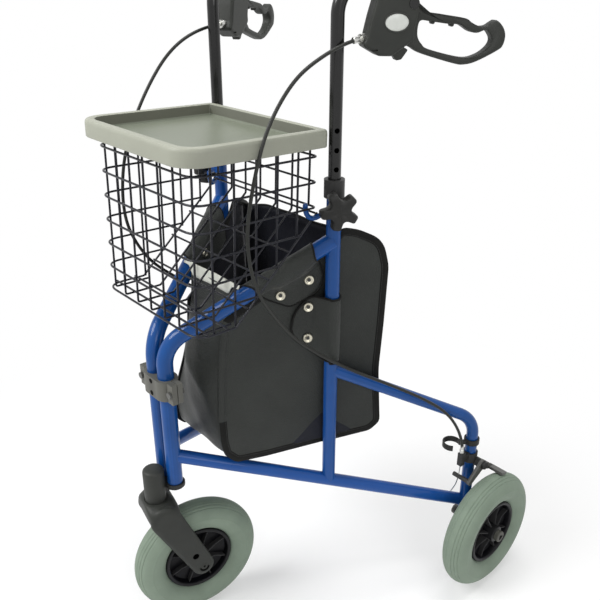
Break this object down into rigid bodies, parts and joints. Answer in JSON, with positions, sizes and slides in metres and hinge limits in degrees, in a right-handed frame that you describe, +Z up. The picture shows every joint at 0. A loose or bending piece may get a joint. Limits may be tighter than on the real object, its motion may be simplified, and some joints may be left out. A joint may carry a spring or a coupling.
{
  "type": "three wheel rollator",
  "caption": "Folding walking frame on two rear wheels and a front castor, with loop brake levers, height-adjusting handles, wire basket, tray and vinyl bag.",
  "frame": {"origin": "on the floor, under the middle of the part's outline", "axes": "+Z up, -Y to the front (walking direction), +X to the user's left"},
  "size_m": [0.5996, 0.561, 0.9107],
  "materials": {
    "frame_blue": "gloss paint",
    "black_tube": "gloss paint",
    "black_plastic": "moulded",
    "graphite_plastic": "fine texture",
    "brake_steel": "matt paint",
    "steel": "zinc plated",
    "tyre": "grey, matt",
    "grip": "soft",
    "cable": "smooth sleeve",
    "vinyl": "grained",
    "basket_wire": "plastic coated",
    "tray_plastic": "fine texture"
  },
  "bodies": {
    "front_hub": {"hub_moulding": "graphite_plastic", "clamp_front": "graphite_plastic", "clamp_rear": "graphite_plastic", "clamp_bolts": "steel", "castor_bushes": "steel", "bag_gusset": "vinyl"},
    "castor": {"castor_fork": "graphite_plastic", "castor_stem": "steel", "front_axle": "steel"},
    "front_wheel": {"front_tyre": "tyre", "front_wheel_hub": "black_plastic"},
    "left_frame": {"left_front_tube": "frame_blue", "left_upright": "frame_blue", "left_lower_rail": "frame_blue", "left_rear_tube": "frame_blue", "left_leg_plug": "black_plastic", "left_collar": "black_plastic", "left_basket_hook": "frame_blue", "left_axle": "steel", "left_brake_bracket": "black_plastic", "left_cable": "cable", "left_bag_panel": "vinyl", "stick_clip": "black_plastic"},
    "left_knob": {"left_knob": "black_plastic"},
    "left_handle": {"left_handle_tube": "black_tube", "left_grip": "grip", "left_lever_body": "graphite_plastic", "left_lever_pin": "steel"},
    "left_lever": {"left_lever": "graphite_plastic"},
    "left_brake": {"left_brake_arm": "brake_steel"},
    "left_wheel": {"left_tyre": "tyre", "left_wheel_hub": "black_plastic"},
    "right_frame": {"right_front_tube": "frame_blue", "right_upright": "frame_blue", "right_lower_rail": "frame_blue", "right_rear_tube": "frame_blue", "right_leg_plug": "black_plastic", "right_collar": "black_plastic", "right_basket_hook": "frame_blue", "right_axle": "steel", "right_brake_bracket": "black_plastic", "right_cable": "cable", "right_bag_panel": "vinyl"},
    "right_knob": {"right_knob": "black_plastic"},
    "right_handle": {"right_handle_tube": "black_tube", "right_grip": "grip", "right_lever_body": "graphite_plastic", "right_lever_pin": "steel"},
    "right_lever": {"right_lever": "graphite_plastic"},
    "right_brake": {"right_brake_arm": "brake_steel"},
    "right_wheel": {"right_tyre": "tyre", "right_wheel_hub": "black_plastic"},
    "basket": {"basket_front": "basket_wire", "basket_left": "basket_wire", "basket_right": "basket_wire", "basket_back": "basket_wire", "basket_floor": "basket_wire", "basket_slope": "basket_wire"},
    "tray": {"tray": "tray_plastic"}
  },
  "joints": [
    {"name": "castor_swivel", "type": "hinge", "parent": "front_hub", "child": "castor", "pos_m": [0, -0.23897, 0.219], "axis": [0, 0, 1], "continuous": true},
    {"name": "front_wheel_spin", "type": "hinge", "parent": "castor", "child": "front_wheel", "pos_m": [0.01147, -0.18722, 0.095], "axis": [0.9763, -0.2164, 0], "continuous": true},
    {"name": "left_fold", "type": "hinge", "parent": "front_hub", "child": "left_frame", "pos_m": [0.013, -0.21297, 0.3], "axis": [0, 0, 1], "range_deg": [0, 24], "deforming": ["left_cable", "bag_gusset"]},
    {"name": "left_handle_slide", "type": "slide", "parent": "left_frame", "child": "left_handle", "axis": [0, 0, 1], "range_m": [-0.094, 0.047], "deforming": ["left_cable"]},
    {"name": "left_knob_turn", "type": "hinge", "parent": "left_frame", "child": "left_knob", "pos_m": [0.13473, -0.02357, 0.634], "axis": [0.8796, -0.4756, 0], "continuous": true},
    {"name": "left_lever_squeeze", "type": "hinge", "parent": "left_handle", "child": "left_lever", "pos_m": [0.16044, 0.05973, 0.86784], "axis": [0.8796, -0.4756, 0], "range_deg": [0, 8], "stiffness_Nm_per_rad": 2, "springref_deg": -5.73},
    {"name": "left_brake_shoe", "type": "hinge", "parent": "left_frame", "child": "left_brake", "pos_m": [0.24946, 0.18951, 0.204], "axis": [-1, 0, 0], "range_deg": [0, 3]},
    {"name": "left_wheel_spin", "type": "hinge", "parent": "left_frame", "child": "left_wheel", "pos_m": [0.27246, 0.18552, 0.095], "axis": [1, 0, 0], "continuous": true},
    {"name": "right_fold", "type": "hinge", "parent": "front_hub", "child": "right_frame", "pos_m": [-0.013, -0.21297, 0.3], "axis": [0, 0, -1], "range_deg": [0, 24], "deforming": ["right_cable", "bag_gusset"]},
    {"name": "right_handle_slide", "type": "slide", "parent": "right_frame", "child": "right_handle", "axis": [0, 0, 1], "range_m": [-0.094, 0.047], "deforming": ["right_cable"]},
    {"name": "right_knob_turn", "type": "hinge", "parent": "right_frame", "child": "right_knob", "pos_m": [-0.13473, -0.02357, 0.634], "axis": [-0.8796, -0.4756, 0], "continuous": true},
    {"name": "right_lever_squeeze", "type": "hinge", "parent": "right_handle", "child": "right_lever", "pos_m": [-0.16044, 0.05973, 0.86784], "axis": [0.8796, 0.4756, 0], "range_deg": [0, 8], "stiffness_Nm_per_rad": 2, "springref_deg": -5.73},
    {"name": "right_brake_shoe", "type": "hinge", "parent": "right_frame", "child": "right_brake", "pos_m": [-0.24946, 0.18951, 0.204], "axis": [-1, 0, 0], "range_deg": [0, 3]},
    {"name": "right_wheel_spin", "type": "hinge", "parent": "right_frame", "child": "right_wheel", "pos_m": [-0.27246, 0.18552, 0.095], "axis": [1, 0, 0], "continuous": true},
    {"name": "basket_lift", "type": "slide", "parent": "front_hub", "child": "basket", "axis": [0, 0, 1], "range_m": [0, 0.3]},
    {"name": "tray_lift", "type": "slide", "parent": "basket", "child": "tray", "axis": [0, 0, 1], "range_m": [0, 0.08]}
  ],
  "couplings": [
    {"joint": "left_brake_shoe", "follows": "left_lever_squeeze", "ratio": 0.37},
    {"joint": "right_brake_shoe", "follows": "right_lever_squeeze", "ratio": 0.37},
    {"joint": "right_fold", "follows": "left_fold", "ratio": 1},
    {"joint": "basket_lift", "follows": "left_fold", "m_per_rad": 0.71}
  ]
}
